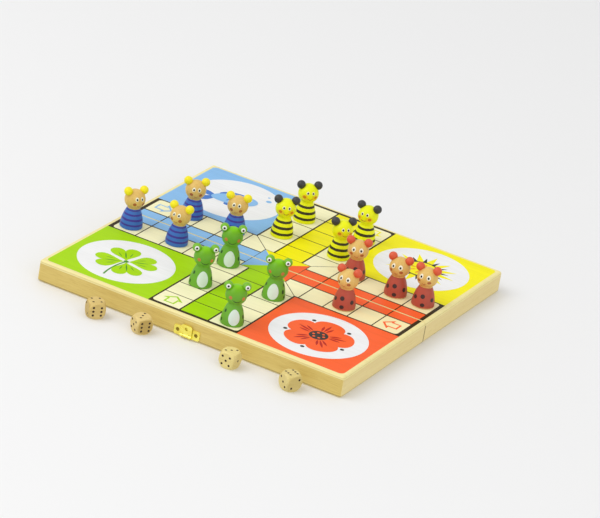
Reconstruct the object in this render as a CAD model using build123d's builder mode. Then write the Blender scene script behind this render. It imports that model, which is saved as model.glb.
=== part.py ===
"""Folding ludo board box: two shallow wooden trays hinged at their rims.

Opened flat, the two trays lie face up and their ply tops make one square playing board.
Folded, the far tray swings down under the front one until the rims meet, and the pair is
a closed box that holds the figures and the dice. A small brass clasp keeps it shut.

Frame: the origin is the middle of the fold, in the plane of the rims. +X runs along the
fold, +Y towards the far tray and +Z up to the playing face. Lengths are in millimetres.
"""
from build123d import *
from math import acos, atan2, cos, degrees, radians, sin
import os

os.makedirs("parts", exist_ok=True)

# ---- board and trays
board_side = 300.0          # outside of the opened board, both ways
box_height = 18.6           # rim to playing face of one tray
seam_gap = 0.4              # between the trays when they lie open
rail_width = 8.0
panel_thickness = 3.0
corner_round = 2.6          # outer upright corners of each tray
top_round = 2.2             # outer top edge of the ply
rim_round = 0.4             # outer bottom edge of the rails

# ---- printed track, which sets where the figures stand
track_margin = 6.4          # board's edge to the outer end of an arm of the cross
goal_half = 23.1            # half of the square in the middle, where the arms end
lane_share = 0.188          # lane width, as a share of half the board

# ---- butt hinges, let into the seam rails
hinge_inset = 55.0          # hinge middle from the board's side
leaf_width = 24.0
leaf_height = 10.5
leaf_thickness = 0.55
leaf_corner = 1.5
knuckle_radius = 1.2
middle_knuckle = 9.6        # length of the far leaf's knuckle
knuckle_gap = 0.2           # end play between knuckles
hinge_pin_radius = 0.6
recess_gap = 0.1            # round a leaf in its recess

# ---- clearances shared by hinges and clasp
running_gap = 0.04          # pin in its bore, on the radius
swing_gap = 0.3             # round a turning knuckle
pin_chamfer = 0.15

# ---- slotted countersunk screws
screw_radius = 0.9
screw_head_radius = 1.75
screw_length = 6.4
screw_point = 1.4
slot_width = 0.45
slot_depth = 0.35
slot_turn = 30.0
thread_gap = 0.02
hinge_screw_spread = 7.5    # screw from the hinge's middle
hinge_screw_height = 6.6
clasp_screw_spread = 9.0    # screw from the clasp's middle
clasp_screw_height = 4.8

# ---- clasp: a hasp on the front rail, a stud plate on the far rail
plate_width = 25.0
plate_top = 9.0
plate_thickness = 0.7
plate_corner = 1.8
hasp_axis_height = 1.6
hasp_knuckle_radius = 1.3
hasp_pin_radius = 0.6
hasp_width = 10.6
hasp_tongue = 4.6           # length of the hasp's own knuckle
hasp_reach = 10.0           # hasp axis to tip
hasp_thickness = 0.7
hasp_corner = 2.0
hasp_lip = 0.9              # finger edge at the tip, turned over
stud_reach = 6.6            # hasp axis to the hole for the stud
stud_radius = 1.1
stud_round = 0.5
stud_clearance = 0.5        # round the stud in the hasp's hole
stud_stand = 0.7            # stud past the closed hasp

# ---- turned figures with two glued balls
base_radius = 10.2
base_round = 0.9
skirt_radius = 9.1          # half way up the skirt
skirt_height = 9.2
neck_radius = 5.8
neck_height = 18.0
head_radius = 9.3
head_half_height = 9.2
head_centre = 26.2
cheek_share = 0.9           # cheek radius, as a share of the head's half height
ball_radius = 3.9
ball_spread = 7.8           # ball centre from the figure's axis
ball_height = 34.4
glue_gap = 0.02

# ---- dice: a cube trimmed by a ball
die_side = 15.0
die_ball_radius = 10.0
pip_radius = 1.05
pip_depth = 0.5
pip_pitch = 3.5

# Worked out from the values above.
half_side = board_side / 2
track_reach = half_side - track_margin
cell_length = (track_reach - goal_half) / 5
lane_width = lane_share * half_side
hinge_offset = half_side - hinge_inset                   # hinge middle from the board's middle
rail_height = box_height - panel_thickness
table_level = -knuckle_radius                            # the open board stands on its knuckles
hasp_axis_out = hasp_knuckle_radius + swing_gap          # hasp axis from the rail's face
plate_bottom = hasp_axis_height - hasp_knuckle_radius
front, far = -1, 1
left, right = -1, 1

# Where the figures stand: arm of the cross, lane beside its middle, cell from the outer end,
# how far off the cell's middle (x, y) in hundredths of a cell, and the face's turn in degrees.
figures = {
    "green": [("front", -1, 5, -12, 21, 30), ("front", -1, 3, 4, -8, 36),
              ("front", 1, 4, 8, 4, 20), ("front", 1, 1, 8, 4, 35)],
    "red": [("right", 1, 4, 4, 21, 20), ("right", -1, 3, 0, 0, 1),
            ("right", 1, 2, -17, 8, 5), ("right", 1, 1, -4, 8, 8)],
    "yellow": [("far", -1, 4, 0, 8, 31), ("far", -1, 2, -8, -4, 40),
               ("far", 1, 4, 8, 4, 44), ("far", 1, 2, 12, -4, 3)],
    "blue": [("left", -1, 1, 0, 0, 58), ("left", 1, 2, 12, 17, 33),
             ("left", -1, 3, -8, 4, 1), ("left", 1, 4, -8, 17, 19)],
}
# Dice on the table: along the front in hundredths of half the board, away from it in hundredths
# of a die's side, turn in degrees, then the counts on the top, front and right face.
dice = [(-52, 147, 44, 4, 6, 5), (-23, 120, 56, 3, 6, 2), (35, 120, -2, 3, 5, 1), (73, 107, 62, 6, 2, 4)]


def keep(piece, name):
    """Label one finished piece and write its file."""
    piece.part.label = name
    export_step(piece.part, f"parts/{name}.step")


# ---------------------------------------------------------------- screws
def screw_seats(face, spread, height):
    """Two screw seats on a plate's outer face: planes whose z points into the wood."""
    return [Plane(face.location * Location((dx, height, 0))) for dx in (-spread, spread)]


def screw_shape(seat, gap=0.0, mode=Mode.ADD):
    """A countersunk screw, or with a gap the hole that takes it."""
    head, shank = screw_head_radius + gap, screw_radius + gap
    with BuildSketch(Plane(origin=seat.origin, x_dir=seat.x_dir, z_dir=-seat.y_dir)) as half:
        with BuildLine():
            Polyline((0, 0), (head, 0), (shank, head - shank), (shank, screw_length - screw_point),
                     (0, screw_length + gap), close=True)
        make_face()
    revolve(half.sketch, axis=Axis(seat.origin, seat.z_dir), mode=mode)


def make_screws(seats):
    """Slotted screws with their heads flush in the given seats."""
    with BuildPart() as screws:
        for seat in seats:
            screw_shape(seat)
            with BuildSketch(seat):
                Rectangle(slot_width, 3 * screw_head_radius, rotation=slot_turn)
            extrude(amount=slot_depth, mode=Mode.SUBTRACT)
    return screws


# ---------------------------------------------------------------- trays
def seam_face(side, hand):
    """Plane on a tray's fold face at one hinge: y up, z into the rail."""
    return Plane(origin=(hand * hinge_offset, side * seam_gap / 2, 0),
                 x_dir=(-side, 0, 0), z_dir=(0, side, 0))


def clasp_face(side, out=0.0):
    """Plane on an outer rail at the clasp, or standing out from it: y up, z into the rail."""
    return Plane(origin=(0, side * (half_side + out), 0), x_dir=(side, 0, 0), z_dir=(0, -side, 0))


def hinge_seats(side, hand):
    return screw_seats(seam_face(side, hand), hinge_screw_spread, hinge_screw_height)


def clasp_seats(side):
    return screw_seats(clasp_face(side, plate_thickness), clasp_screw_spread, clasp_screw_height)


def tray_outline(side):
    """A tray seen from above: square at the fold, rounded at the two outer corners."""
    depth = half_side - seam_gap / 2
    with BuildSketch() as outline:
        with Locations((0, side * (seam_gap / 2 + depth / 2))):
            Rectangle(board_side, depth)
        fillet(outline.vertices().sort_by(Axis.Y)[:2] if side == front
               else outline.vertices().sort_by(Axis.Y)[-2:], corner_round)
    return outline.sketch


def rail_plan(side, place):
    """The corners of a mitred rail, seen from above."""
    seam, rim = side * seam_gap / 2, side * half_side
    seam_in, rim_in = seam + side * rail_width, rim - side * rail_width
    inner = half_side - rail_width
    if place == "outer_rail":
        return [(-half_side, rim), (half_side, rim), (inner, rim_in), (-inner, rim_in)]
    if place == "seam_rail":
        return [(-half_side, seam), (half_side, seam), (inner, seam_in), (-inner, seam_in)]
    hand = left if place == "left_rail" else right
    return [(hand * half_side, seam), (hand * half_side, rim),
            (hand * inner, rim_in), (hand * inner, seam_in)]


def make_rail(side, place):
    """One mitred rail of a tray, with the pockets and holes for what it carries."""
    with BuildPart() as rail:
        with BuildSketch():
            Polygon(*rail_plan(side, place), align=None)
        extrude(amount=rail_height)
        with BuildSketch():
            add(tray_outline(side))
        extrude(amount=rail_height, mode=Mode.INTERSECT)
        rim = rail.edges().group_by(Axis.Z)[0]
        long_edge = rim.filter_by(GeomType.LINE).sort_by(SortBy.LENGTH)[-1]
        fillet([long_edge, *rim.filter_by(GeomType.CIRCLE)], rim_round)
        if place == "seam_rail":
            for hand in (left, right):
                pocket = leaf_width + 2 * recess_gap
                with BuildSketch(seam_face(side, hand)):
                    Rectangle(pocket, 2 * (leaf_height + recess_gap))
                extrude(amount=leaf_thickness, mode=Mode.SUBTRACT)
                with BuildSketch(Plane.YZ.offset(hand * hinge_offset - pocket / 2)):
                    Circle(knuckle_radius + swing_gap)
                extrude(amount=pocket, mode=Mode.SUBTRACT)
                for seat in hinge_seats(side, hand):
                    screw_shape(seat, thread_gap, Mode.SUBTRACT)
        if place == "outer_rail":
            for seat in clasp_seats(side):
                screw_shape(seat, thread_gap, Mode.SUBTRACT)
    return rail


def make_panel(side):
    """The ply top of a tray: it covers the rails, its outer edges rounded over."""
    with BuildPart() as panel:
        with BuildSketch(Plane.XY.offset(rail_height)):
            add(tray_outline(side))
        extrude(amount=panel_thickness)
        top = panel.faces().sort_by(Axis.Z)[-1]
        across = top.edges().filter_by(Axis.X).sort_by(Axis.Y)
        seam_edge = across[-1] if side == front else across[0]
        fillet([edge for edge in top.edges() if edge != seam_edge], min(top_round, 0.85 * corner_round))
    return panel


# ---------------------------------------------------------------- hinges
def knuckle_spans(side):
    """Where a leaf's own knuckles lie along the hinge, as (start, length)."""
    if side == far:
        return [(-middle_knuckle / 2, middle_knuckle)]
    outer = (leaf_width - middle_knuckle) / 2 - knuckle_gap
    return [(-leaf_width / 2, outer), (leaf_width / 2 - outer, outer)]


def make_leaf(side, hand):
    """A hinge leaf: a plate flush in the fold face, rolled round the pin at the rim."""
    middle = hand * hinge_offset
    with BuildPart() as leaf:
        with BuildSketch(seam_face(side, hand)) as plate:
            Rectangle(leaf_width, leaf_height, align=(Align.CENTER, Align.MIN))
            fillet(plate.vertices().group_by(Axis.Y)[-1], leaf_corner)
        extrude(amount=leaf_thickness)
        for start, length in knuckle_spans(-side):
            with BuildSketch(Plane.YZ.offset(middle + start - knuckle_gap)):
                Circle(knuckle_radius + swing_gap)
            extrude(amount=length + 2 * knuckle_gap, mode=Mode.SUBTRACT)
        for start, length in knuckle_spans(side):
            with BuildSketch(Plane.YZ.offset(middle + start)):
                Circle(knuckle_radius)
            extrude(amount=length)
        with BuildSketch(Plane.YZ.offset(middle - leaf_width)):
            Circle(hinge_pin_radius + running_gap)
        extrude(amount=2 * leaf_width, mode=Mode.SUBTRACT)
        for seat in hinge_seats(side, hand):
            screw_shape(seat, thread_gap, Mode.SUBTRACT)
    return leaf


def make_pin(radius, length, start):
    """A plain pin along X with its two ends broken; start is its (x, y, z) end."""
    with BuildPart() as pin:
        with BuildSketch(Plane(origin=start, x_dir=(0, 1, 0), z_dir=(1, 0, 0))):
            Circle(radius)
        extrude(amount=length)
        chamfer(pin.edges().filter_by(GeomType.CIRCLE), pin_chamfer)
    return pin


# ---------------------------------------------------------------- clasp
hasp_axis_y = -(half_side + hasp_axis_out)


def plate_blank(side):
    """The clasp plates' outline on the rail's face."""
    with BuildSketch(clasp_face(side)) as blank:
        with Locations((0, (plate_bottom + plate_top) / 2)):
            Rectangle(plate_width, plate_top - plate_bottom)
        fillet(blank.vertices(), plate_corner)
    return blank.sketch


def along_hasp(start):
    """Plane across the hasp's axis at x = start, its origin on the axis."""
    return Plane(origin=(start, hasp_axis_y, hasp_axis_height), x_dir=(0, 1, 0), z_dir=(1, 0, 0))


def make_hasp_plate():
    """The front plate: two screw ears, and two knuckles curled up from its lower edge."""
    knuckle = (hasp_width - hasp_tongue) / 2 - knuckle_gap
    with BuildPart() as plate:
        extrude(plate_blank(front), amount=-plate_thickness)
        with BuildSketch(clasp_face(front)):
            with Locations((0, hasp_axis_height)):
                Rectangle(hasp_tongue + 2 * knuckle_gap, 2 * hasp_axis_out)
        extrude(amount=-plate_thickness, mode=Mode.SUBTRACT)
        for start in (-hasp_width / 2, hasp_width / 2 - knuckle):
            with BuildSketch(along_hasp(start)):
                Circle(hasp_knuckle_radius)
                with Locations((0, -hasp_knuckle_radius)):
                    Rectangle(hasp_axis_out, plate_thickness, align=(Align.MIN, Align.MIN))
            extrude(amount=knuckle)
        with BuildSketch(along_hasp(-hasp_width)):
            Circle(hasp_pin_radius + running_gap)
        extrude(amount=2 * hasp_width, mode=Mode.SUBTRACT)
        for seat in clasp_seats(front):
            screw_shape(seat, thread_gap, Mode.SUBTRACT)
    return plate


def make_hasp():
    """The swinging hasp: one knuckle, a holed plate and a turned-over finger edge."""
    body_start = hasp_knuckle_radius + swing_gap
    inside = clasp_face(front, hasp_axis_out - hasp_thickness / 2)
    with BuildPart() as hasp:
        with BuildSketch(inside) as sheet:
            with Locations((0, hasp_axis_height + body_start)):
                Rectangle(hasp_width, hasp_reach - body_start, align=(Align.CENTER, Align.MIN))
            fillet(sheet.vertices().group_by(Axis.Y)[-1], hasp_corner)
            with Locations((0, hasp_axis_height)):
                Rectangle(hasp_tongue, 2 * body_start, align=(Align.CENTER, Align.MIN))
            with Locations((0, hasp_axis_height + stud_reach)):
                Circle(stud_radius + stud_clearance, mode=Mode.SUBTRACT)
        extrude(amount=-hasp_thickness)
        with BuildSketch(inside):
            with Locations((0, hasp_axis_height + hasp_reach)):
                Rectangle(hasp_width - 2 * hasp_corner, hasp_thickness, align=(Align.CENTER, Align.MAX))
        extrude(amount=hasp_lip)
        with BuildSketch(along_hasp(-hasp_tongue / 2)):
            Circle(hasp_knuckle_radius)
        extrude(amount=hasp_tongue)
        with BuildSketch(along_hasp(-hasp_width)):
            Circle(hasp_pin_radius + running_gap)
        extrude(amount=2 * hasp_width, mode=Mode.SUBTRACT)
    return hasp


def make_stud_plate():
    """The far plate: the same blank with the stud that the closed hasp drops over."""
    stud_height = stud_reach - hasp_axis_height
    stud_out = hasp_axis_out + hasp_thickness / 2 + stud_stand
    with BuildPart() as plate:
        extrude(plate_blank(far), amount=-plate_thickness)
        with BuildSketch(clasp_face(far)):
            with Locations((0, stud_height)):
                Circle(stud_radius)
        extrude(amount=-stud_out)
        fillet(plate.faces().sort_by(Axis.Y)[-1].edges(), stud_round)
        for seat in clasp_seats(far):
            screw_shape(seat, thread_gap, Mode.SUBTRACT)
    return plate


# ---------------------------------------------------------------- figures
def cell_middle(arm, lane, cell):
    """Middle of a cell of the cross, with cells counted from the arm's outer end."""
    reach, across = track_reach - (cell - 0.5) * cell_length, lane * lane_width
    return {"front": (across, -reach), "far": (across, reach),
            "left": (-reach, across), "right": (reach, across)}[arm]


def figure_stand(arm, lane, cell, off_x, off_y, turn):
    """Plane on the playing face where a figure stands, x towards its left ball."""
    x, y = cell_middle(arm, lane, cell)
    step = cell_length / 100
    facing = radians(turn)
    return Plane(origin=(x + off_x * step, y + off_y * step, box_height),
                 x_dir=(cos(facing), sin(facing), 0), z_dir=(0, 0, 1))


ball_places = [(-ball_spread, 0, ball_height), (ball_spread, 0, ball_height)]

# The head's outline is two arcs that run smoothly into each other: a cheek and a crown.
cheek_radius = cheek_share * min(head_radius, head_half_height)
cheek_out = head_radius - cheek_radius
crown_radius = (cheek_out**2 + head_half_height**2 - cheek_radius**2) / (2 * (head_half_height - cheek_radius))
crown_start = degrees(atan2(crown_radius - head_half_height, cheek_out))
chin = -degrees(acos((neck_radius - cheek_out) / cheek_radius))


def make_figure(stand):
    """The turned body: flared skirt, neck and rounded head, with seats for the balls."""
    with BuildPart(stand) as figure:
        with BuildSketch(Plane(origin=stand.origin, x_dir=stand.x_dir, z_dir=-stand.y_dir)):
            with BuildLine():
                Line((0, 0), (base_radius - base_round, 0))
                CenterArc((base_radius - base_round, base_round), base_round, -90, 90)
                ThreePointArc((base_radius, base_round), (skirt_radius, skirt_height),
                              (neck_radius, neck_height))
                cheek = CenterArc((cheek_out, head_centre), cheek_radius, chin, crown_start - chin)
                crown = CenterArc((0, head_centre + head_half_height - crown_radius), crown_radius,
                                  crown_start, 90 - crown_start)
                Line((neck_radius, neck_height), cheek @ 0)
                Line(crown @ 1, (0, 0))
            make_face()
        revolve(axis=Axis(stand.origin, stand.z_dir))
        with Locations(*ball_places):
            Sphere(ball_radius + glue_gap, mode=Mode.SUBTRACT)
    return figure


def make_balls(stand):
    """The pair of balls glued to a figure's head."""
    with BuildPart(stand) as balls:
        with Locations(*ball_places):
            Sphere(ball_radius)
    return balls


# ---------------------------------------------------------------- dice
def pip_spots(count):
    """The pips of one face, on a grid of three by three."""
    spots = [(0, 0)] if count % 2 else []
    if count > 1:
        spots += [(-1, -1), (1, 1)]
    if count > 3:
        spots += [(-1, 1), (1, -1)]
    if count == 6:
        spots += [(-1, 0), (1, 0)]
    return spots


def make_die(along, away, turn, top, front_face, right_face):
    """A rounded die on the table, opposite faces adding up to seven."""
    facing = radians(turn)
    stand = Plane(origin=(along * half_side / 100, -half_side - away * die_side / 100, table_level),
                  x_dir=(cos(facing), sin(facing), 0), z_dir=(0, 0, 1))
    cutter = (pip_radius**2 + pip_depth**2) / (2 * pip_depth)
    faces = [(top, (0, 0, 0)), (7 - top, (180, 0, 0)), (front_face, (90, 0, 0)),
             (7 - front_face, (-90, 0, 0)), (right_face, (0, 90, 0)), (7 - right_face, (0, -90, 0))]
    with BuildPart(stand) as die:
        with Locations((0, 0, die_side / 2)):
            Box(die_side, die_side, die_side)
            Sphere(die_ball_radius, mode=Mode.INTERSECT)
        for count, tilt in faces:
            face = Location((0, 0, die_side / 2), tilt) * Location((0, 0, die_side / 2 - pip_depth + cutter))
            with Locations(*[face * Location((i * pip_pitch, j * pip_pitch, 0)) for i, j in pip_spots(count)]):
                Sphere(cutter, mode=Mode.SUBTRACT)
    return die


# ---------------------------------------------------------------- build and write
for side, tray in ((front, "front"), (far, "far")):
    keep(make_panel(side), f"{tray}_panel")
    for place in ("outer_rail", "seam_rail", "left_rail", "right_rail"):
        keep(make_rail(side, place), f"{tray}_{place}")
    keep(make_screws([seat for hand in (left, right) for seat in hinge_seats(side, hand)]),
         f"{tray}_hinge_screws")
    keep(make_screws(clasp_seats(side)), f"{tray}_clasp_screws")
    for hand, where in ((left, "left"), (right, "right")):
        keep(make_leaf(side, hand), f"{where}_hinge_{tray}_leaf")

for hand, where in ((left, "left"), (right, "right")):
    start = (hand * hinge_offset - leaf_width / 2, 0, 0)
    keep(make_pin(hinge_pin_radius, leaf_width, start), f"{where}_hinge_pin")

keep(make_hasp_plate(), "clasp_hasp_plate")
keep(make_hasp(), "clasp_hasp")
keep(make_pin(hasp_pin_radius, hasp_width, (-hasp_width / 2, hasp_axis_y, hasp_axis_height)),
     "clasp_hasp_pin")
keep(make_stud_plate(), "clasp_stud_plate")

for colour, places in figures.items():
    for number, place in enumerate(places, 1):
        stand = figure_stand(*place)
        keep(make_figure(stand), f"figure_{colour}_{number}")
        keep(make_balls(stand), f"figure_{colour}_{number}_balls")

for number, die in enumerate(dice, 1):
    keep(make_die(*die), f"die_{number}")
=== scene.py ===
import bpy
import math
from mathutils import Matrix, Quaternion, Vector
from mathutils.bvhtree import BVHTree


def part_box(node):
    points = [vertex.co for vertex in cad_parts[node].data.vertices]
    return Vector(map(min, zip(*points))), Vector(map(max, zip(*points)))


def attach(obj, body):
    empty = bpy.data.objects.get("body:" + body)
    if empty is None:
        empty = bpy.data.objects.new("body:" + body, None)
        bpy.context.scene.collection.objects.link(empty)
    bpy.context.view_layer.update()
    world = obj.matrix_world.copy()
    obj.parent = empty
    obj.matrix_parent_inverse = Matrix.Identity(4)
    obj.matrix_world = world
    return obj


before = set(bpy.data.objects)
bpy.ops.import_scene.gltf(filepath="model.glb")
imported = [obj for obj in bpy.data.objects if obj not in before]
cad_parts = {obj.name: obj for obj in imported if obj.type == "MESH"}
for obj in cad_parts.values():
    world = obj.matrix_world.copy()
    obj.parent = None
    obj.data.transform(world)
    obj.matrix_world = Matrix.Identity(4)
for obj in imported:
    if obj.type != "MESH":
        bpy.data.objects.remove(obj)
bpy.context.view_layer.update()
scene = bpy.context.scene
mm = 0.001
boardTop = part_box("front_panel")[1].z  # playing face
knuckleWall = 0.6 * mm
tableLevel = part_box("left_hinge_pin")[0].z - knuckleWall  # the open board stands on its knuckles
print("frame loaded:", len(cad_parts), "nodes")

# camera: angles in degrees, places in metres, lens in millimetres
camera = {"azimuth": 24.8, "elevation": 24.0, "roll": 10, "distance": 3.6, "aimAcross": 0.0243,
          "aimUp": 0.0224, "lens": 247.4, "clipStart": 0.05, "clipEnd": 60}
turn, lift = math.radians(camera["azimuth"]), math.radians(camera["elevation"])
back = Vector((math.sin(turn) * math.cos(lift), -math.cos(turn) * math.cos(lift), math.sin(lift)))
roll = Quaternion((0, 0, 1), math.radians(camera["roll"]))
eye = bpy.data.objects.new("camera", bpy.data.cameras.new("camera"))
scene.collection.objects.link(eye)
eye.rotation_mode = "QUATERNION"
eye.rotation_quaternion = (-back).to_track_quat("-Z", "Y") @ roll
eye.location = back * camera["distance"]
eye.location += eye.rotation_quaternion @ Vector((camera["aimAcross"], camera["aimUp"], 0))
eye.data.lens = camera["lens"]
eye.data.clip_start, eye.data.clip_end = camera["clipStart"], camera["clipEnd"]
scene.camera = eye
print("camera ready")


# shader helpers
def addNode(tree, kind, **settings):
    node = tree.nodes.new(kind)
    for key, value in settings.items():
        setattr(node, key, value)
    return node


def feed(tree, value, socket):
    # links an output, or sets a number, a vector or a colour without its alpha
    if isinstance(value, bpy.types.NodeSocket):
        tree.links.new(value, socket)
    elif socket.type == "RGBA":
        socket.default_value = (*value, 1)
    else:
        socket.default_value = value


def calc(tree, operation, first, second=None):
    node = addNode(tree, "ShaderNodeMath", operation=operation)
    feed(tree, first, node.inputs[0])
    if second is not None:
        feed(tree, second, node.inputs[1])
    return node.outputs[0]


def mixColor(tree, share, first, second):
    node = addNode(tree, "ShaderNodeMix", data_type="RGBA")
    for index, value in ((0, share), (6, first), (7, second)):
        feed(tree, value, node.inputs[index])
    return node.outputs[2]


def spread(tree, value, low, high, top=1.0):
    # low becomes 0 and high becomes top
    node = addNode(tree, "ShaderNodeMapRange")
    for label, number in (("From Min", low), ("From Max", high), ("To Max", top)):
        node.inputs[label].default_value = number
    tree.links.new(value, node.inputs["Value"])
    return node.outputs["Result"]


def noise(tree, vector, scale, detail, distortion=0.0):
    node = addNode(tree, "ShaderNodeTexNoise")
    for label, number in (("Scale", scale), ("Detail", detail), ("Distortion", distortion)):
        node.inputs[label].default_value = number
    tree.links.new(vector, node.inputs["Vector"])
    return node.outputs["Fac"]


def scaled(tree, vector, factor):
    node = addNode(tree, "ShaderNodeVectorMath", operation="SCALE")
    tree.links.new(vector, node.inputs[0])
    tree.links.new(factor, node.inputs["Scale"])
    return node.outputs[0]


def mapped(tree, vector, turn=(0, 0, 0), scale=(1, 1, 1), shift=(0, 0, 0)):
    node = addNode(tree, "ShaderNodeMapping")
    for label, value in (("Rotation", turn), ("Scale", scale), ("Location", shift)):
        node.inputs[label].default_value = value
    tree.links.new(vector, node.inputs["Vector"])
    return node.outputs["Vector"]


def objectSpot(tree):
    return addNode(tree, "ShaderNodeTexCoord").outputs["Object"]


def axesOf(tree, vector):
    node = addNode(tree, "ShaderNodeSeparateXYZ")
    tree.links.new(vector, node.inputs[0])
    return node.outputs


def facingUp(tree):
    # 1 on a level face, 0 on an upright one
    normal = addNode(tree, "ShaderNodeNewGeometry").outputs["Normal"]
    return calc(tree, "ABSOLUTE", axesOf(tree, normal)["Z"])


def newGroup(name, inputs):
    # every group puts out a color, a roughness and a height
    tree = bpy.data.node_groups.new(name, "ShaderNodeTree")
    for label, kind, value in inputs:
        socket = tree.interface.new_socket(name=label, in_out="INPUT", socket_type="NodeSocket" + kind)
        if value is not None:
            socket.default_value = value
    for label, kind in (("Color", "Color"), ("Roughness", "Float"), ("Height", "Float")):
        tree.interface.new_socket(name=label, in_out="OUTPUT", socket_type="NodeSocket" + kind)
    return tree, addNode(tree, "NodeGroupInput").outputs


def closeGroup(tree, color, roughness, height):
    out = addNode(tree, "NodeGroupOutput").inputs
    for label, value in (("Color", color), ("Roughness", roughness), ("Height", height)):
        tree.links.new(value, out[label])
    return tree


def useGroup(tree, group, values):
    node = addNode(tree, "ShaderNodeGroup", node_tree=group)
    for label, value in values.items():
        feed(tree, value, node.inputs[label])
    return node.outputs


def newMaterial(name, plain):
    # plain holds the values that are the same all over the surface
    mat = bpy.data.materials.new(name)
    mat.use_nodes = True
    sockets = mat.node_tree.nodes["Principled BSDF"].inputs
    for label, value in plain.items():
        feed(mat.node_tree, value, sockets[label])
    return mat, mat.node_tree, sockets


def finishSurface(tree, sockets, color, roughness, height, depth, strength=0.3):
    tree.links.new(color, sockets["Base Color"])
    tree.links.new(roughness, sockets["Roughness"])
    bump = addNode(tree, "ShaderNodeBump")
    bump.inputs["Strength"].default_value = strength
    bump.inputs["Distance"].default_value = depth
    tree.links.new(height, bump.inputs["Height"])
    tree.links.new(bump.outputs["Normal"], sockets["Normal"])


def place(tree, turn=(0, 0, 0), shift=(0, 0, 0)):
    return mapped(tree, objectSpot(tree), turn, shift=shift)


grainLook = {"stretch": 0.035, "figureScale": 0.12, "figureSwirl": 1.2, "lineShare": 0.6,
             "lineRange": (0.42, 0.78), "poreScale": 3.4, "poreRange": (0.54, 0.68), "roughnessSwing": 0.12}


def makeWoodGrain():
    # wood grain, drawn out along the first axis of the vector it gets
    tree, given = newGroup("woodGrain", [
        ("Vector", "Vector", None), ("Pale", "Color", (0.8, 0.6, 0.3, 1)),
        ("Dark", "Color", (0.5, 0.3, 0.1, 1)), ("Line Spacing", "Float", 0.0012), ("Contrast", "Float", 0.5),
        ("Pores", "Float", 0.4), ("Gloss Roughness", "Float", 0.42)])
    drawn = addNode(tree, "ShaderNodeVectorMath", operation="MULTIPLY")
    drawn.inputs[1].default_value = (grainLook["stretch"], 1, 1)
    tree.links.new(given["Vector"], drawn.inputs[0])
    spot = scaled(tree, drawn.outputs[0], calc(tree, "DIVIDE", 1.0, given["Line Spacing"]))
    fibre = noise(tree, spot, 1.0, 3.0)
    figure = noise(tree, spot, grainLook["figureScale"], 2.0, grainLook["figureSwirl"])
    lines = calc(tree, "ADD", calc(tree, "MULTIPLY", fibre, grainLook["lineShare"]),
                 calc(tree, "MULTIPLY", figure, grainLook["lineShare"]))
    lines = spread(tree, lines, *grainLook["lineRange"])
    # short dark dashes between the lines
    dashes = spread(tree, noise(tree, spot, grainLook["poreScale"], 1.0), *grainLook["poreRange"])
    dashes = calc(tree, "MULTIPLY", dashes, given["Pores"])
    share = calc(tree, "ADD", calc(tree, "MULTIPLY", lines, given["Contrast"]), dashes)
    color = mixColor(tree, calc(tree, "MINIMUM", share, 1.0), given["Pale"], given["Dark"])
    swing = calc(tree, "MULTIPLY", lines, grainLook["roughnessSwing"])
    height = calc(tree, "SUBTRACT", calc(tree, "SUBTRACT", 1.0, fibre), dashes)
    return closeGroup(tree, color, calc(tree, "ADD", given["Gloss Roughness"], swing), height)


coatLook = {"speckScale": 14.0, "cloudShare": 0.7, "speckShare": 0.3, "roughnessSwing": 0.14}


def makePaintCoat():
    # a brushed coat of paint or ink: slightly cloudy, with small specks in its surface
    tree, given = newGroup("paintCoat", [
        ("Color", "Color", (0.5, 0.5, 0.5, 1)), ("Vector", "Vector", None), ("Cloud Size", "Float", 0.006),
        ("Cloud Depth", "Float", 0.12), ("Gloss Roughness", "Float", 0.32)])
    spot = scaled(tree, given["Vector"], calc(tree, "DIVIDE", 1.0, given["Cloud Size"]))
    cloud, speck = noise(tree, spot, 1.0, 3.0), noise(tree, spot, coatLook["speckScale"], 2.0)
    tone = calc(tree, "MULTIPLY", calc(tree, "SUBTRACT", cloud, 0.5), given["Cloud Depth"])
    color = scaled(tree, given["Color"], calc(tree, "ADD", 1.0, calc(tree, "MULTIPLY", tone, 2.0)))
    swing = calc(tree, "MULTIPLY", cloud, coatLook["roughnessSwing"])
    height = calc(tree, "ADD", calc(tree, "MULTIPLY", cloud, coatLook["cloudShare"]),
                  calc(tree, "MULTIPLY", speck, coatLook["speckShare"]))
    return closeGroup(tree, color, calc(tree, "ADD", given["Gloss Roughness"], swing), height)


wearLook = {"rubbedRange": (0.42, 0.68), "scratchTurn": (0.3, 0.7, 0.4), "scratchScale": (0.6, 14, 14),
            "roughnessSwing": 0.20}


def makeMetalWear():
    # marks left by rubbing and small scratches, for the brass
    tree, given = newGroup("metalWear", [
        ("Color", "Color", (0.8, 0.6, 0.2, 1)), ("Worn Color", "Color", (0.6, 0.4, 0.1, 1)),
        ("Vector", "Vector", None), ("Patch Size", "Float", 0.004), ("Polish Roughness", "Float", 0.25)])
    spot = scaled(tree, given["Vector"], calc(tree, "DIVIDE", 1.0, given["Patch Size"]))
    rubbed = spread(tree, noise(tree, spot, 1.0, 4.0), *wearLook["rubbedRange"])
    scratch = noise(tree, mapped(tree, spot, wearLook["scratchTurn"], wearLook["scratchScale"]), 1.0, 2.0)
    swing = calc(tree, "MULTIPLY", rubbed, wearLook["roughnessSwing"])
    return closeGroup(tree, mixColor(tree, rubbed, given["Color"], given["Worn Color"]),
                      calc(tree, "ADD", given["Polish Roughness"], swing), scratch)


woodGrain, paintCoat, metalWear = makeWoodGrain(), makePaintCoat(), makeMetalWear()
print("shader groups ready")

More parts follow.
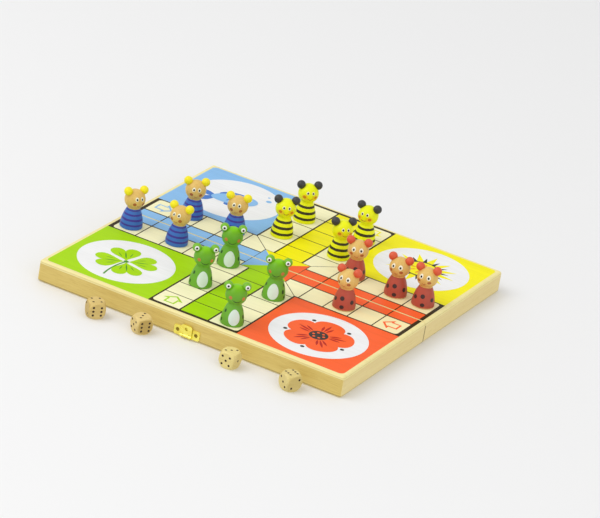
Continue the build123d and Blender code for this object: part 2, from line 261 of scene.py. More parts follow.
# the box: colours of its woods, and lengths in metres; side rails are painted paler and the front and far
# rails darker, painted light and shade on one wood
boxWood = {"railPale": (0.75, 0.57, 0.17), "railDark": (0.56, 0.38, 0.08), "sidePale": (0.84, 0.69, 0.31),
           "sideDark": (0.70, 0.53, 0.20), "topPale": (0.89, 0.80, 0.38), "topDark": (0.78, 0.65, 0.27),
           "coreDark": (0.52, 0.36, 0.13), "railLines": 0.0011, "topLines": 0.0016, "coreLines": 0.0007,
           "railContrast": 0.42, "topContrast": 0.5, "coreContrast": 0.8, "coreShare": 0.45,
           "coreDepth": 1.6 * mm, "coreHalf": 0.45 * mm, "railBump": 0.06 * mm, "panelBump": 0.05 * mm}
levelFrom, uprightBelow = 0.9, 0.4  # shares of facing up
# painted shade on the rails: a dark line along the fold gap and a painted contact shadow at the rim
paintedShade = {"color": (0.16, 0.10, 0.035), "foldReach": 1.1 * mm, "foldShare": 0.85, "rimReach": 0.9 * mm,
         "rimShare": 0.7, "full": 0.3 * mm}
grainShift = {"front": (0.1, 0.02, 0), "far": (0.7, 0.31, 0), "sideRails": (0.21, 0.07, 0),
              "farRails": (0.4, 0.11, 0.02)}
quarterTurn = (0, 0, math.pi / 2)


def shineNode(name, material):
    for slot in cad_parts[name].material_slots:
        slot.material = material


def railWood(name, tone, turn=(0, 0, 0), shift=(0, 0, 0)):
    mat, tree, sockets = newMaterial(name, {"Specular IOR Level": 0.35})
    grain = useGroup(tree, woodGrain, {
        "Vector": place(tree, turn, shift), "Pale": boxWood[tone + "Pale"], "Dark": boxWood[tone + "Dark"],
        "Contrast": boxWood["railContrast"], "Line Spacing": boxWood["railLines"]})
    # painted shade: the edges beside the fold gap are darkened, and a painted contact shadow runs along the
    # upright faces at the rim but not its flat
    where = axesOf(tree, objectSpot(tree))
    fromFold = calc(tree, "ABSOLUTE", where["Y"])
    fold = spread(tree, fromFold, paintedShade["foldReach"], paintedShade["full"], paintedShade["foldShare"])
    rim = spread(tree, where["Z"], paintedShade["rimReach"], paintedShade["full"], paintedShade["rimShare"])
    rim = calc(tree, "MULTIPLY", rim, calc(tree, "LESS_THAN", facingUp(tree), levelFrom))
    color = mixColor(tree, calc(tree, "MAXIMUM", fold, rim), grain["Color"], paintedShade["color"])
    finishSurface(tree, sockets, color, grain["Roughness"], grain["Height"], boxWood["railBump"])
    return mat


def panelWood(name, shift):
    mat, tree, sockets = newMaterial(name, {"Specular IOR Level": 0.3})
    face = useGroup(tree, woodGrain, {
        "Vector": place(tree, shift=shift), "Pale": boxWood["topPale"], "Dark": boxWood["topDark"],
        "Contrast": boxWood["topContrast"], "Line Spacing": boxWood["topLines"]})
    core = useGroup(tree, woodGrain, {
        "Vector": place(tree, quarterTurn, shift), "Pale": boxWood["railPale"], "Dark": boxWood["coreDark"],
        "Contrast": boxWood["coreContrast"], "Line Spacing": boxWood["coreLines"]})
    # the middle ply shows darker on the sides, in its own third of the thickness
    height = axesOf(tree, objectSpot(tree))["Z"]
    offMiddle = calc(tree, "ABSOLUTE", calc(tree, "SUBTRACT", height, boardTop - boxWood["coreDepth"]))
    middle = calc(tree, "LESS_THAN", offMiddle, boxWood["coreHalf"])
    side = calc(tree, "LESS_THAN", facingUp(tree), uprightBelow)
    share = calc(tree, "MULTIPLY", calc(tree, "MULTIPLY", middle, side), boxWood["coreShare"])
    color = mixColor(tree, share, face["Color"], core["Color"])
    finishSurface(tree, sockets, color, face["Roughness"], face["Height"], boxWood["panelBump"])
    return mat


frontRails = railWood("railWoodAcross", "rail")
sideRails = railWood("railWoodDeep", "side", quarterTurn, grainShift["sideRails"])
farRails = railWood("railWoodFar", "rail", shift=grainShift["farRails"])
for tray, acrossRails in (("front", frontRails), ("far", farRails)):
    shineNode(tray + "_panel", panelWood("plyWood_" + tray, grainShift[tray]))
    for rail in ("outer_rail", "seam_rail"):
        shineNode(f"{tray}_{rail}", acrossRails)
    for rail in ("left_rail", "right_rail"):
        shineNode(f"{tray}_{rail}", sideRails)

# the brass: colours, patch sizes in metres, polish as roughness
brassColors = {"color": (1.0, 0.91, 0.18), "worn": (0.93, 0.77, 0.12), "polish": 0.2}
# the screws' dark colour is painted shade, standing in for the shadow in their slots and recesses
screwColors = {"color": (0.36, 0.25, 0.03), "worn": (0.17, 0.11, 0.02), "polish": 0.34}
brassPatch = {"plate": 5.0 * mm, "pin": 1.5 * mm, "screw": 1.2 * mm}
brassBump = {"depth": 0.03 * mm, "strength": 0.4}


def brassWork(name, look, patch):
    mat, tree, sockets = newMaterial(name, {"Metallic": 0.9})
    metal = useGroup(tree, metalWear, {
        "Vector": place(tree), "Color": look["color"], "Worn Color": look["worn"], "Patch Size": patch,
        "Polish Roughness": look["polish"]})
    finishSurface(tree, sockets, metal["Color"], metal["Roughness"], metal["Height"], **brassBump)
    return mat


plateBrass = brassWork("plateBrass", brassColors, brassPatch["plate"])
pinBrass = brassWork("pinBrass", brassColors, brassPatch["pin"])
screwBrass = brassWork("screwBrass", screwColors, brassPatch["screw"])
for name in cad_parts:
    if name.endswith("_pin"):
        shineNode(name, pinBrass)
    elif name.endswith("_screws"):
        shineNode(name, screwBrass)
    elif name.startswith("clasp_") or "_leaf" in name:
        shineNode(name, plateBrass)
print("box and brass finished")

# print on the playing face: colours, then lengths in millimetres
inkColors = {"green": (0.39, 0.69, 0.002), "red": (0.96, 0.135, 0.035), "yellow": (0.94, 0.86, 0.006),
             "blue": (0.26, 0.51, 0.82), "cream": (0.95, 0.91, 0.57), "line": (0.045, 0.030, 0.012),
             "white": (0.86, 0.86, 0.86), "deepGreen": (0.08, 0.30, 0.03), "deepRed": (0.50, 0.03, 0.02),
             "gold": (0.85, 0.42, 0.02), "deepBlue": (0.07, 0.20, 0.58), "dark": (0.05, 0.045, 0.04)}
inkCoat = {"Cloud Size": 0.02, "Cloud Depth": 0.03, "Gloss Roughness": 0.3}
grainTone = 0.86  # the grain under an ink, as a share of the ink's colour
grainPores, inkBump = 0.25, 0.03 * mm
# bare cells grow warmer to the right, from start to end in metres
warmCells = {"color": (0.93, 0.79, 0.42), "start": 0.02, "end": 0.10}
printSheet = {"reach": 146.0, "cornerRound": 4.3, "foldMargin": 0.85, "outerLane": 42.0, "innerLane": 14.0,
              "border": 1.7, "laneLine": 1.6, "cellLine": 1.1, "trackEnd": 142.4, "cells": 5,
              "cellLength": 24.0, "cellRound": 3.6, "square": 22.4, "slantGap": 0.5, "discRadius": 43.0,
              "homeMiddle": 95.6, "arrowInset": 12.0, "lowest": 0.04, "step": 0.035}
inkOrder = list(inkColors)


def ink(name, color):
    mat, tree, sockets = newMaterial("ink_" + name, {"Specular IOR Level": 0.05})
    pale = color
    if name == "cream":
        warm = spread(tree, axesOf(tree, objectSpot(tree))["X"], warmCells["start"], warmCells["end"])
        pale = mixColor(tree, warm, color, warmCells["color"])
    under = useGroup(tree, woodGrain, {
        "Vector": place(tree, shift=grainShift["front"]), "Pale": pale,
        "Dark": tuple(grainTone * part for part in color), "Contrast": boxWood["topContrast"],
        "Pores": grainPores, "Line Spacing": boxWood["topLines"]})
    coat = useGroup(tree, paintCoat, {"Color": under["Color"], "Vector": place(tree), **inkCoat})
    finishSurface(tree, sockets, coat["Color"], coat["Roughness"], under["Height"], inkBump)
    return mat


inks = [ink(name, color) for name, color in inkColors.items()]
sheets = {-1: [], 1: []}  # polygons of the front and the far tray


def spin(points, quarter):
    for _ in range(quarter):
        points = [(-y, x) for x, y in points]
    return points


def lay(points, color, layer, quarter=0):
    # prints one polygon, cut where the board folds
    points = spin(points, quarter)
    edge = printSheet["foldMargin"]
    for side in (-1, 1):
        kept = []
        for (x0, y0), (x1, y1) in zip(points, points[1:] + points[:1]):
            inside, insideNext = side * y0 >= edge, side * y1 >= edge
            if inside:
                kept.append((x0, y0))
            if inside != insideNext:
                part = (side * edge - y0) / (y1 - y0)
                kept.append((x0 + part * (x1 - x0), side * edge))
        if len(kept) > 2:
            sheets[side].append((kept, color, layer))


def arc(x, y, radius, start, sweep, steps=10):
    return [(x + radius * math.cos(math.radians(start + sweep * i / steps)),
             y + radius * math.sin(math.radians(start + sweep * i / steps))) for i in range(steps + 1)]


def disc(x, y, radius, steps=48):
    return arc(x, y, radius, 0, 360 - 360 / steps, steps - 1)


def shift(points, x, y, angle=0.0):
    # turned by the angle, then moved
    c, s = math.cos(math.radians(angle)), math.sin(math.radians(angle))
    return [(x + c * px - s * py, y + s * px + c * py) for px, py in points]


def ray(points, out, angle):
    # moved out from the middle, then turned round it
    return shift(shift(points, out, 0), 0, 0, angle)


def mirrored(upper):
    # closes an outline below the x axis
    return upper + [(x, -y) for x, y in upper[-2:0:-1]]


def leafShape(length, width, steps=12):
    # pointed at both ends, it starts at the origin and grows along +x
    shares = [i / steps for i in range(steps + 1)]
    return mirrored([(length * share, width / 2 * math.sin(math.pi * share)) for share in shares])


def petalShape(length, width, bulge=0.0, steps=18):
    # like a leaf but round at both ends; a bulge moves its widest place outwards
    turns = [math.pi * i / steps for i in range(steps + 1)]
    return mirrored([(length / 2 * (1 - math.cos(t)), width / 2 * math.sin(t) * (1 - bulge * math.cos(t)))
                     for t in turns])


def heartShape(length, width, steps=40):
    # the usual heart curve, 29 long from -17, with its point at the origin and its two lobes towards +x
    outline = []
    for i in range(steps):
        t = math.tau * (i + 0.5) / steps
        x = 13 * math.cos(t) - 5 * math.cos(2 * t) - 2 * math.cos(3 * t) - math.cos(4 * t) + 17
        outline.append((x / 29 * length, math.sin(t) ** 3 * width / 2))
    return outline


def arm(quarter, color):
    # one arm of the cross, drawn at the front: two rows of bare cells and a coloured lane between them
    s = printSheet
    rim, line, outer = s["outerLane"] + s["border"], s["cellLine"] / 2, s["outerLane"]
    middle, inner = s["innerLane"] - s["laneLine"] / 2, s["innerLane"] + s["laneLine"] / 2
    lay([(-rim, -s["reach"]), (rim, -s["reach"]), (rim, -rim), (-rim, -rim)], "line", 0, quarter)
    lay([(-rim, -rim), (rim, -rim), (0, 0)], "line", 0, quarter)
    for cell in range(s["cells"]):
        first, last = cell == 0, cell == s["cells"] - 1
        low = -s["trackEnd"] + cell * s["cellLength"] + (0 if first else line)
        high = -s["square"] - line if last else -s["trackEnd"] + (cell + 1) * s["cellLength"] - line
        lay([(-middle, low), (middle, low), (middle, high), (-middle, high)], color, 1, quarter)
        shape = [(inner, low), (outer, low), (outer, high), (inner, high)]
        if first:
            r = s["cellRound"]
            shape = [(inner, low), *arc(outer - r, low + r, r, -90, 90, 6), (outer, high), (inner, high)]
        if last:  # cut off along the board's diagonal
            high, gap = -s["square"] - s["laneLine"] / 2, s["slantGap"]
            shape = [(inner, low), (outer, low), (outer, -outer - gap), (-high - gap, high), (inner, high)]
        for hand in (-1, 1):
            lay([(hand * x, y) for x, y in shape][::hand], "cream", 1, quarter)
    lay([(-s["square"], -s["square"]), (s["square"], -s["square"]), (0, 0)], color, 1, quarter)


def startArrow(quarter, color):
    # an outlined block arrow in the first cell, pointing up its row
    middle = (-(printSheet["outerLane"] + printSheet["innerLane"]) / 2,
              -printSheet["trackEnd"] + printSheet["arrowInset"])
    body = [(9.6, 0.2), (5.2, 0.2), (5.2, -7.6), (-5.2, -7.6), (-5.2, 0.2), (-9.6, 0.2), (0, 8.6)]
    hollow = [(5.0, 1.7), (3.6, 1.7), (3.6, -6.0), (-3.6, -6.0), (-3.6, 1.7), (-5.0, 1.7), (0, 6.1)]
    lay(shift(body, *middle), color, 2, quarter)
    lay(shift(hollow, *middle), "cream", 3, quarter)


def home(quarter, color):
    s = printSheet
    near, far, r, m = s["outerLane"] + s["border"], s["reach"], s["cornerRound"], s["homeMiddle"]
    corner = arc(-far + r, -far + r, r, 180, 90)
    lay([(-near, -near), (-far, -near), *corner, (-near, -far)], color, 0, quarter)
    lay(disc(-m, -m, s["discRadius"], 96), "white", 1, quarter)


def motif(quarter, parts):
    # parts of one home's ornament, each (polygon, color, layer), drawn round the home's middle
    x, y = spin([(-printSheet["homeMiddle"],) * 2], quarter)[0]
    for points, color, layer in parts:
        sheets[1 if y > 0 else -1].append((shift(points, x, y), color, layer))


def clover():
    stem = arc(0, 80, 80.8, -90, 26) + arc(0, 80, 79.2, -64, -26)
    parts = [(ray(stem, 0, -105), "deepGreen", 2)]
    for angle in (32, 122, 212, 302):
        parts.append((ray(heartShape(26, 27), 1, angle), "green", 3))
        parts.append((ray(leafShape(15, 1.3), 5, angle), "deepGreen", 4))
        for tilt in (-20, 20):
            parts.append((ray(leafShape(9, 0.9), 10, angle + tilt), "deepGreen", 4))
    return parts + [(disc(0, 0, 2.2, 24), "deepGreen", 5)]


def blossom():
    parts = []
    for angle, layer in zip(range(18, 378, 72), (2, 3, 2, 3, 4)):
        parts.append((ray(petalShape(31, 27, 0.3), 0, angle), "red", layer))
        for tilt, length in ((-13, 11), (0, 15), (13, 11)):
            parts.append((ray(leafShape(length, 2.2), 9, angle + tilt), "deepRed", 5))
        parts.append((ray(disc(0, 0, 1.9, 20), 29, angle + 36), "dark", 2))
    parts.append((disc(0, 0, 8.4, 32), "dark", 6))
    return parts + [(ray(disc(0, 0, 1.3, 16), 4.9, angle), "red", 7) for angle in range(0, 360, 60)]


def sun():
    parts = [(ray([(15, -3.8), (32, 0), (15, 3.8)], 0, angle), "yellow", 2) for angle in range(0, 360, 30)]
    parts += [(ray([(15, -2.0), (25, 0), (15, 2.0)], 0, angle), "dark", 3) for angle in range(15, 375, 30)]
    parts += [(disc(0, 0, 16), "dark", 4), (disc(0, 0, 14.4), "yellow", 5)]
    return parts + [(ray(leafShape(7.5, 2.4), 4.5, angle), "gold", 6) for angle in range(0, 360, 45)]


def fish():
    # swimming to the right, then tilted upwards, with three bubbles
    parts = [(shift(petalShape(43, 23, 0.15), -22, 0), "blue", 4),
             (shift(petalShape(25, 13), -15, 8, 2), "deepBlue", 2),
             (shift(petalShape(14, 9), 4, -9, 196), "deepBlue", 2)]
    for hand, layer in ((-1, 2), (1, 3)):
        parts.append((shift(petalShape(17, 8, 0.3), -18, 0, 180 + 36 * hand), "deepBlue", layer))
    for x in (-12, -6, 0):
        parts.append((arc(x, 0, 7, -50, 100, 12) + arc(x, 0, 6, 50, -100, 12), "deepBlue", 5))
    parts += [(disc(13, 3, 2.4, 24), "white", 5), (disc(13.4, 3, 1.2, 18), "dark", 6)]
    bubbles = [(disc(x, y, r, 24), "blue", 2) for x, y, r in ((24, 20, 2.6), (29, 26, 1.7), (20, 28, 1.3))]
    return [(shift(points, 0, 0, 24), color, layer) for points, color, layer in parts] + bubbles


def buildSheet(side, tray):
    corners, faces, fills = [], [], []
    for points, color, layer in sheets[side]:
        height = boardTop + (printSheet["lowest"] + layer * printSheet["step"]) * mm
        area = sum(x0 * y1 - x1 * y0 for (x0, y0), (x1, y1) in zip(points, points[1:] + points[:1]))
        faces.append(list(range(len(corners), len(corners) + len(points))))
        corners += [(x * mm, y * mm, height) for x, y in (points if area > 0 else points[::-1])]
        fills.append(inkOrder.index(color))
    mesh = bpy.data.meshes.new("boardPrint_" + tray)
    mesh.from_pydata(corners, [], faces)
    for mat in inks:
        mesh.materials.append(mat)
    mesh.polygons.foreach_set("material_index", fills)
    sheet = bpy.data.objects.new("boardPrint_" + tray, mesh)
    scene.collection.objects.link(sheet)
    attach(sheet, tray + "_tray")


for quarter, (color, ornament) in enumerate((("green", clover), ("red", blossom),
                                             ("yellow", sun), ("blue", fish))):
    arm(quarter, color)
    startArrow(quarter, color)
    home(quarter, color)
    motif(quarter, ornament())
buildSheet(-1, "front")
buildSheet(1, "far")
print("print laid:", len(sheets[-1]) + len(sheets[1]), "shapes")

# paint of the figures: heights in millimetres above the board
figureWood = {"pale": (0.80, 0.55, 0.17), "dark": (0.63, 0.37, 0.09), "contrast": 0.6, "lines": 0.9 * mm}
figureCoat = {"Cloud Size": 0.007, "Cloud Depth": 0.10, "Gloss Roughness": 0.3}
figureBump = {"depth": 0.05 * mm, "strength": 0.35}
brushEdge = {"scale": 260, "detail": 2.0, "swing": 0.6 * mm}  # a painted edge wanders by this much
rampTop = 36
beeYellow, beeDark = (0.83, 0.87, 0.006), (0.05, 0.045, 0.015)
shirtBlue, stripeBlue = (0.05, 0.155, 0.52), (0.055, 0.04, 0.29)
# zones: (height, colour from there up); LINEAR lets them run together, and None leaves the wood bare
figurePaint = {
    # the green zones from 24 mm up are painted shade and a painted highlight: darker round the head's
    # middle, brighter at the crown
    "green": {"zones": [(0, (0.07, 0.25, 0.02)), (0.7, (0.15, 0.40, 0.035)), (17.6, (0.15, 0.40, 0.035)),
                        (18.6, (0.16, 0.43, 0.035)), (24.0, (0.155, 0.43, 0.035)),
                        (27.0, (0.14, 0.395, 0.032)), (32.0, (0.143, 0.395, 0.012)),
                        (33.5, (0.16, 0.44, 0.006)), (35.2, (0.21, 0.575, 0.003))],
              "blend": "LINEAR", "balls": (0.18, 0.46, 0.02)},
    "red": {"zones": [(0, (0.72, 0.46, 0.20)), (0.9, (0.46, 0.085, 0.052)), (18.3, None)],
            "blend": "CONSTANT", "balls": (0.70, 0.105, 0.04)},
    "yellow": {"zones": [(0, beeYellow), (3.2, beeDark), (5.6, beeYellow), (8.6, beeDark),
                         (11.0, beeYellow), (14.0, beeDark), (16.1, beeYellow)],
               "blend": "CONSTANT", "balls": (0.045, 0.045, 0.045)},
    "blue": {"zones": [(0, shirtBlue), (3.4, stripeBlue), (5.2, shirtBlue), (8.0, stripeBlue),
                       (9.8, shirtBlue), (12.6, stripeBlue), (14.2, shirtBlue), (16.6, stripeBlue),
                       (17.6, shirtBlue), (18.3, None)],
             "blend": "CONSTANT", "balls": (0.90, 0.78, 0.008)},
}


def figureMaterial(name, zones, blend):
    mat, tree, sockets = newMaterial(name, {"Specular IOR Level": 0.22})
    spot = objectSpot(tree)
    wobble = noise(tree, spot, brushEdge["scale"], brushEdge["detail"])
    wobble = calc(tree, "MULTIPLY", calc(tree, "SUBTRACT", wobble, 0.5), brushEdge["swing"])
    height = calc(tree, "ADD", calc(tree, "SUBTRACT", axesOf(tree, spot)["Z"], boardTop), wobble)
    ramps = []
    paints = [color or (0, 0, 0) for _, color in zones]
    bareWood = [(float(color is None),) * 3 for _, color in zones]
    for values in (paints, bareWood):
        ramp = addNode(tree, "ShaderNodeValToRGB")
        ramp.color_ramp.interpolation = blend
        while len(ramp.color_ramp.elements) < len(zones):
            ramp.color_ramp.elements.new(1.0)
        for element, (start, _), value in zip(ramp.color_ramp.elements, zones, values):
            element.position, element.color = start / rampTop, (*value, 1)
        tree.links.new(calc(tree, "DIVIDE", height, rampTop * mm), ramp.inputs["Fac"])
        ramps.append(ramp.outputs["Color"])
    paint = useGroup(tree, paintCoat, {"Color": ramps[0], "Vector": spot, **figureCoat})
    wood = useGroup(tree, woodGrain, {
        "Vector": place(tree, (0, math.pi / 2, 0)), "Pale": figureWood["pale"], "Dark": figureWood["dark"],
        "Contrast": figureWood["contrast"], "Line Spacing": figureWood["lines"]})
    color = mixColor(tree, ramps[1], paint["Color"], wood["Color"])
    finishSurface(tree, sockets, color, paint["Roughness"], paint["Height"], **figureBump)
    return mat


plainCoat = {"Cloud Size": 0.004, "Cloud Depth": 0.08, "Gloss Roughness": 0.3}
plainBump = 0.03 * mm


def plainPaint(name, color):
    mat, tree, sockets = newMaterial(name, {"Specular IOR Level": 0.35})
    paint = useGroup(tree, paintCoat, {"Color": color, "Vector": place(tree), **plainCoat})
    finishSurface(tree, sockets, paint["Color"], paint["Roughness"], paint["Height"], plainBump)
    return mat


# faces, bellies and spots
markPaints = {"eyeWhite": (0.88, 0.88, 0.86), "eyeCream": (0.90, 0.86, 0.68), "pupil": (0.012, 0.012, 0.012),
              "cheekOrange": (0.54, 0.20, 0.045), "cheekAmber": (0.64, 0.24, 0.006),
              "blush": (0.88, 0.66, 0.01), "cheekBrown": (0.44, 0.13, 0.035), "smile": (0.03, 0.06, 0.02),
              "smileRed": (0.45, 0.05, 0.03), "belly": (0.70, 0.82, 0.72),
              "spotGreen": (0.015, 0.07, 0.006), "dotDark": (0.05, 0.025, 0.022)}
markOrder = list(markPaints)
markMaterials = [plainPaint("mark_" + name, color) for name, color in markPaints.items()]


def pair(fill, angle, *size):
    # the same mark on both sides of the face
    return [(fill, -angle, *size), (fill, angle, *size)]


def spots(fill, *places):
    return [(fill, *where) for where in places]


# each mark: (paint, side of the face in degrees, height, half width, half height) in millimetres
figureMarks = {
    "green": [("belly", 0, 8.6, 5.0, 6.9), *pair("cheekOrange", 37, 26.2, 1.7, 1.6),
              *spots("spotGreen", (-74, 4.0, 1.3, 1.6), (-64, 12.5, 1.2, 1.5), (60, 8.4, 1.4, 1.9),
                     (78, 13.6, 1.2, 1.5), (72, 3.4, 1.3, 1.4), (118, 8.4, 1.4, 1.8), (162, 12.4, 1.2, 1.5),
                     (188, 4.6, 1.5, 1.8), (-118, 7.6, 1.4, 1.8), (-155, 11.6, 1.1, 1.4))],
    "red": [*pair("eyeCream", 23, 29.2, 1.9, 2.1), *pair("pupil", 22, 29.0, 0.9, 1.0),
            *spots("cheekBrown", (-33, 25.2, 1.7, 1.3), (30, 25.0, 1.8, 1.3)),
            *spots("dotDark", (-38, 9.0, 2.0, 1.8), (8, 11.2, 2.0, 1.9), (14, 3.8, 2.0, 1.7),
                   (68, 8.2, 2.0, 1.9), (-88, 4.4, 2.0, 1.8), (-96, 12.4, 2.0, 1.8), (120, 12.0, 2.0, 1.8),
                   (116, 4.0, 2.0, 1.8), (176, 8.6, 2.0, 1.9), (-142, 8.0, 2.0, 1.9))],
    "yellow": [*pair("eyeCream", 17, 29.6, 1.25, 1.4), *pair("pupil", 16, 29.5, 0.8, 0.9),
               *pair("blush", 30, 25.5, 3.1, 2.5), *pair("cheekAmber", 33, 25.8, 1.6, 1.3)],
    "blue": [*pair("eyeCream", 17, 29.4, 1.5, 1.8), *pair("pupil", 16, 29.2, 0.8, 0.95),
             *pair("cheekBrown", 27, 24.6, 1.6, 1.5)],
}
upperMarks = ("pupil", "cheekAmber")  # these lie on other marks
# each smile: (paint, half width, height of its ends, drop, thickness)
smiles = {"green": ("smile", 4.0, 24.8, 2.0, 0.8), "red": ("smileRed", 1.8, 23.4, 0.9, 0.5),
          "yellow": ("smileRed", 2.6, 24.8, 1.3, 0.6), "blue": ("smileRed", 1.8, 23.2, 0.9, 0.45)}
# a frog's eyes are painted on its balls: (radius, layer) of each paint
ballEyes = {"eyeWhite": (2.35, 1), "pupil": (0.95, 2)}
ballRadius, gazeTurn = 3.9, 0.12  # they look outwards and up by that share
markMesh = {"lift": 0.07 * mm, "corners": 24, "bodyRings": (0.35, 0.7, 1.0), "ballRings": (0.4, 0.75, 1.0),
            "bodyCast": 30 * mm, "ballCast": 8 * mm, "smileSteps": 16, "smileTaper": 0.05}


def surfaceOf(name):
    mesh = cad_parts[name].data
    corners = [vertex.co.copy() for vertex in mesh.vertices]
    return BVHTree.FromPolygons(corners, [tuple(face.vertices) for face in mesh.polygons])


def roundRows(rings, pointAt):
    # a middle point and rings round it; pointAt takes the shares of the half width and half height
    rows = [[pointAt(0, 0)]]
    for ring in rings:
        turns = [math.tau * i / markMesh["corners"] for i in range(markMesh["corners"])]
        rows.append([pointAt(ring * math.cos(t), ring * math.sin(t)) for t in turns])
    return rows


class Marks:
    def __init__(self):
        self.corners, self.faces, self.fills = [], [], []

    def add(self, rows, fill, closed=True):
        # rows of points, joined into quads; the first row may be a single point
        index = []
        for row in rows:
            index.append(range(len(self.corners), len(self.corners) + len(row)))
            self.corners += row
        for low, high in zip(index, index[1:]):
            count = len(high)
            for i in range(count if closed else count - 1):
                j = (i + 1) % count
                face = (low[0], high[i], high[j]) if len(low) == 1 else (low[i], high[i], high[j], low[j])
                self.faces.append(face)
                self.fills.append(markOrder.index(fill))

    def build(self, name, body):
        mesh = bpy.data.meshes.new(name)
        mesh.from_pydata(self.corners, [], self.faces)
        for mat in markMaterials:
            mesh.materials.append(mat)
        mesh.polygons.foreach_set("material_index", self.fills)
        mesh.shade_smooth()
        piece = bpy.data.objects.new(name, mesh)
        scene.collection.objects.link(piece)
        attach(piece, body)
        return piece


def earMiddles(body, axis):
    points = [v.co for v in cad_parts[body + "_balls"].data.vertices]
    ears = [[p for p in points if hand * (p.x - axis.x) > 0] for hand in (-1, 1)]
    return [sum(ear, Vector()) / len(ear) for ear in ears]


def addBallEye(marks, ballSkin, middle, gaze):
    side = gaze.cross(Vector((0, 0, 1))).normalized()
    top = side.cross(gaze)

    def onBall(u, v, size, layer):
        way = (gaze + (side * u + top * v) * (size / ballRadius)).normalized()
        spot, _, _, _ = ballSkin.ray_cast(middle + way * markMesh["ballCast"], -way)
        return spot + way * markMesh["lift"] * layer

    for fill, (size, layer) in ballEyes.items():
        marks.add(roundRows(markMesh["ballRings"], lambda u, v: onBall(u, v, size, layer)), fill)


def dress(colour, number):
    body = f"figure_{colour}_{number}"
    low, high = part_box(body)
    axis = Vector(((low.x + high.x) / 2, (low.y + high.y) / 2, boardTop))
    ears = earMiddles(body, axis)
    across = (ears[1] - ears[0]).normalized()
    ahead = Vector((across.y, -across.x, 0))
    skin = surfaceOf(body)
    marks = Marks()

    def outwards(around):
        return ahead * math.cos(around) + across * math.sin(around)

    def onBody(around, height):
        # the surface's point at that side and height, lifted by a mark's thickness
        way = outwards(around)
        start = axis + Vector((0, 0, height * mm)) + way * markMesh["bodyCast"]
        spot, normal, _, _ = skin.ray_cast(start, -way)
        return spot + normal * markMesh["lift"] * (1 if normal.dot(way) > 0 else -1)

    def radiusAt(around, height):
        return (onBody(around, height) - axis - Vector((0, 0, height * mm))).length / mm

    for fill, angle, height, wide, tall in figureMarks[colour]:
        around = math.radians(angle)
        sweep = wide / radiusAt(around, height)
        rows = roundRows(markMesh["bodyRings"], lambda u, v: onBody(around + sweep * u, height + tall * v))
        if fill in upperMarks:
            rows = [[p + outwards(around) * markMesh["lift"] for p in row] for row in rows]
        marks.add(rows, fill)

    fill, half, ends, drop, thick = smiles[colour]
    sweep = half / radiusAt(0, ends)
    shares = [-1 + 2 * i / markMesh["smileSteps"] for i in range(markMesh["smileSteps"] + 1)]
    rows = [[], []]
    for u in shares:
        middle = ends - drop * (1 - u * u)
        halfThick = thick / 2 * math.sqrt(max(1 - u ** 4, markMesh["smileTaper"]))
        rows[0].append(onBody(u * sweep, middle - halfThick))
        rows[1].append(onBody(u * sweep, middle + halfThick))
    marks.add(rows, fill, closed=False)

    if colour == "green":
        ballSkin = surfaceOf(body + "_balls")
        for ear, hand in zip(ears, (-1, 1)):
            gaze = ahead + across * gazeTurn * hand + Vector((0, 0, gazeTurn))
            addBallEye(marks, ballSkin, ear, gaze.normalized())
    piece = marks.build("marks_" + body, body)


for colour, look in figurePaint.items():
    bodyPaint = figureMaterial("figurePaint_" + colour, look["zones"], look["blend"])
    ballPaint = plainPaint("ballPaint_" + colour, look["balls"])
    for number in range(1, 5):
        shineNode(f"figure_{colour}_{number}", bodyPaint)
        shineNode(f"figure_{colour}_{number}_balls", ballPaint)
        dress(colour, number)
    print("figures painted:", colour)

# dice: a pip is where the surface lies deeper than the cube's sides and its rounding ball
dieLook = {"endGrainShade": (0.42, 0.27, 0.05), "pip": (0.05, 0.024, 0.01), "contrast": 0.6, "lines": 0.9 * mm,
           "half": 7.5 * mm, "sideSlack": 0.02 * mm, "ball": 10.0 * mm, "ballSlack": 0.15 * mm,
           "endFade": 2.5 * mm, "bump": 0.05 * mm}
# each die: its turn in degrees, its wood, the axis across the grain and the share of darkening shown there,
# partly end grain and partly painted shade
dieWoods = [
    {"turn": 44, "pale": (0.75, 0.56, 0.20), "dark": (0.54, 0.37, 0.10), "across": "x", "share": 0.5},
    {"turn": 56, "pale": (0.80, 0.62, 0.25), "dark": (0.60, 0.42, 0.12), "across": "y", "share": 0.7},
    {"turn": -2, "pale": (0.84, 0.71, 0.28), "dark": (0.65, 0.50, 0.15), "across": "x", "share": 0.25},
    {"turn": 62, "pale": (0.78, 0.64, 0.25), "dark": (0.58, 0.44, 0.13), "across": "y", "share": 0.3}]


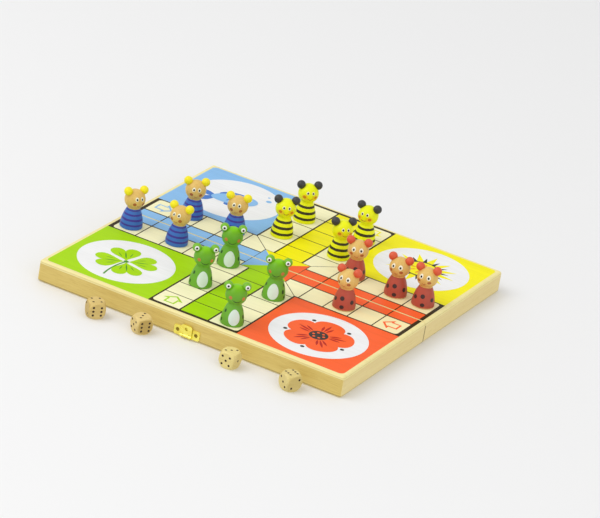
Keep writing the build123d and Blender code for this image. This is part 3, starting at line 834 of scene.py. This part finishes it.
def dieMaterial(number, wood):
    low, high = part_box(f"die_{number}")
    mat, tree, sockets = newMaterial(f"dieWood_{number}", {"Specular IOR Level": 0.3})
    inner = addNode(tree, "ShaderNodeMapping", vector_type="TEXTURE")  # the die's own middle and turn
    inner.inputs["Location"].default_value = (low + high) / 2
    inner.inputs["Rotation"].default_value = (0, 0, math.radians(wood["turn"]))
    tree.links.new(objectSpot(tree), inner.inputs["Vector"])
    spot = inner.outputs[0]
    x, y, z = (calc(tree, "ABSOLUTE", part) for part in axesOf(tree, spot))
    reach = calc(tree, "MAXIMUM", calc(tree, "MAXIMUM", x, y), z)
    length = addNode(tree, "ShaderNodeVectorMath", operation="LENGTH")
    tree.links.new(spot, length.inputs[0])
    sunk = calc(tree, "LESS_THAN", reach, dieLook["half"] - dieLook["sideSlack"])
    flat = calc(tree, "LESS_THAN", length.outputs["Value"], dieLook["ball"] - dieLook["ballSlack"])
    grain = useGroup(tree, woodGrain, {
        "Vector": spot, "Pale": wood["pale"], "Dark": wood["dark"], "Contrast": dieLook["contrast"],
        "Line Spacing": dieLook["lines"]})
    # the two faces across the grain are darker: partly end grain, partly painted shade set die by die
    end, other = (x, y) if wood["across"] == "x" else (y, x)
    ahead = calc(tree, "SUBTRACT", end, calc(tree, "MAXIMUM", other, z))
    ends = calc(tree, "MULTIPLY", ahead, 1 / dieLook["endFade"])
    ends = calc(tree, "MINIMUM", calc(tree, "MAXIMUM", ends, 0.0), wood["share"])
    color = mixColor(tree, ends, grain["Color"], dieLook["endGrainShade"])
    color = mixColor(tree, calc(tree, "MULTIPLY", sunk, flat), color, dieLook["pip"])
    finishSurface(tree, sockets, color, grain["Roughness"], grain["Height"], dieLook["bump"])
    return mat


for number, wood in enumerate(dieWoods, 1):
    shineNode(f"die_{number}", dieMaterial(number, wood))
print("dice finished")

# floor, light and world: metres and watts
studio = {"floorColor": (0.84, 0.84, 0.84), "floorSize": 14.0, "world": 0.78, "worldSeen": 0.86,
          "keyPower": 36, "keySize": 2.2, "keySpot": (-1.5, -1.3, 2.4),
          "fillPower": 16, "fillSize": 2.6, "fillSpot": (2.6, -1.6, 1.6)}


def floorPaint():
    mat, tree, sockets = newMaterial("floorPaint", {"Base Color": studio["floorColor"], "Roughness": 0.6})
    # seen from below the floor is clear, so the underside and the folded box can be looked at
    below = addNode(tree, "ShaderNodeMixShader")
    tree.links.new(addNode(tree, "ShaderNodeNewGeometry").outputs["Backfacing"], below.inputs[0])
    tree.links.new(tree.nodes["Principled BSDF"].outputs[0], below.inputs[1])
    tree.links.new(addNode(tree, "ShaderNodeBsdfTransparent").outputs[0], below.inputs[2])
    tree.links.new(below.outputs[0], tree.nodes["Material Output"].inputs["Surface"])
    return mat


def lamp(name, spot, power, size):
    light = bpy.data.lights.new(name, "AREA")
    light.energy, light.size = power, size
    holder = bpy.data.objects.new(name, light)
    holder.location = spot
    holder.rotation_mode = "QUATERNION"
    holder.rotation_quaternion = (-Vector(spot)).to_track_quat("-Z", "Y")
    scene.collection.objects.link(holder)


half = studio["floorSize"] / 2
floorCorners = [(x * half, y * half, tableLevel) for x, y in ((-1, -1), (1, -1), (1, 1), (-1, 1))]
floorMesh = bpy.data.meshes.new("floor")
floorMesh.from_pydata(floorCorners, [], [(0, 1, 2, 3)])
floorMesh.materials.append(floorPaint())
floor = bpy.data.objects.new("floor", floorMesh)
scene.collection.objects.link(floor)
floor.visible_diffuse = False  # light reaches the underside as it would in the hand

world = bpy.data.worlds.new("studioWorld")
scene.world = world
world.use_nodes = True
airTree = world.node_tree
air = airTree.nodes["Background"]
air.inputs["Color"].default_value = (1.0, 1.0, 1.0, 1)
seen = addNode(airTree, "ShaderNodeLightPath").outputs["Is Camera Ray"]
seenMore = calc(airTree, "MULTIPLY", seen, studio["worldSeen"] - studio["world"])
airTree.links.new(calc(airTree, "ADD", studio["world"], seenMore), air.inputs["Strength"])

lamp("keyLamp", studio["keySpot"], studio["keyPower"], studio["keySize"])
lamp("fillLamp", studio["fillSpot"], studio["fillPower"], studio["fillSize"])
scene.view_settings.view_transform = "Standard"
print("studio ready")
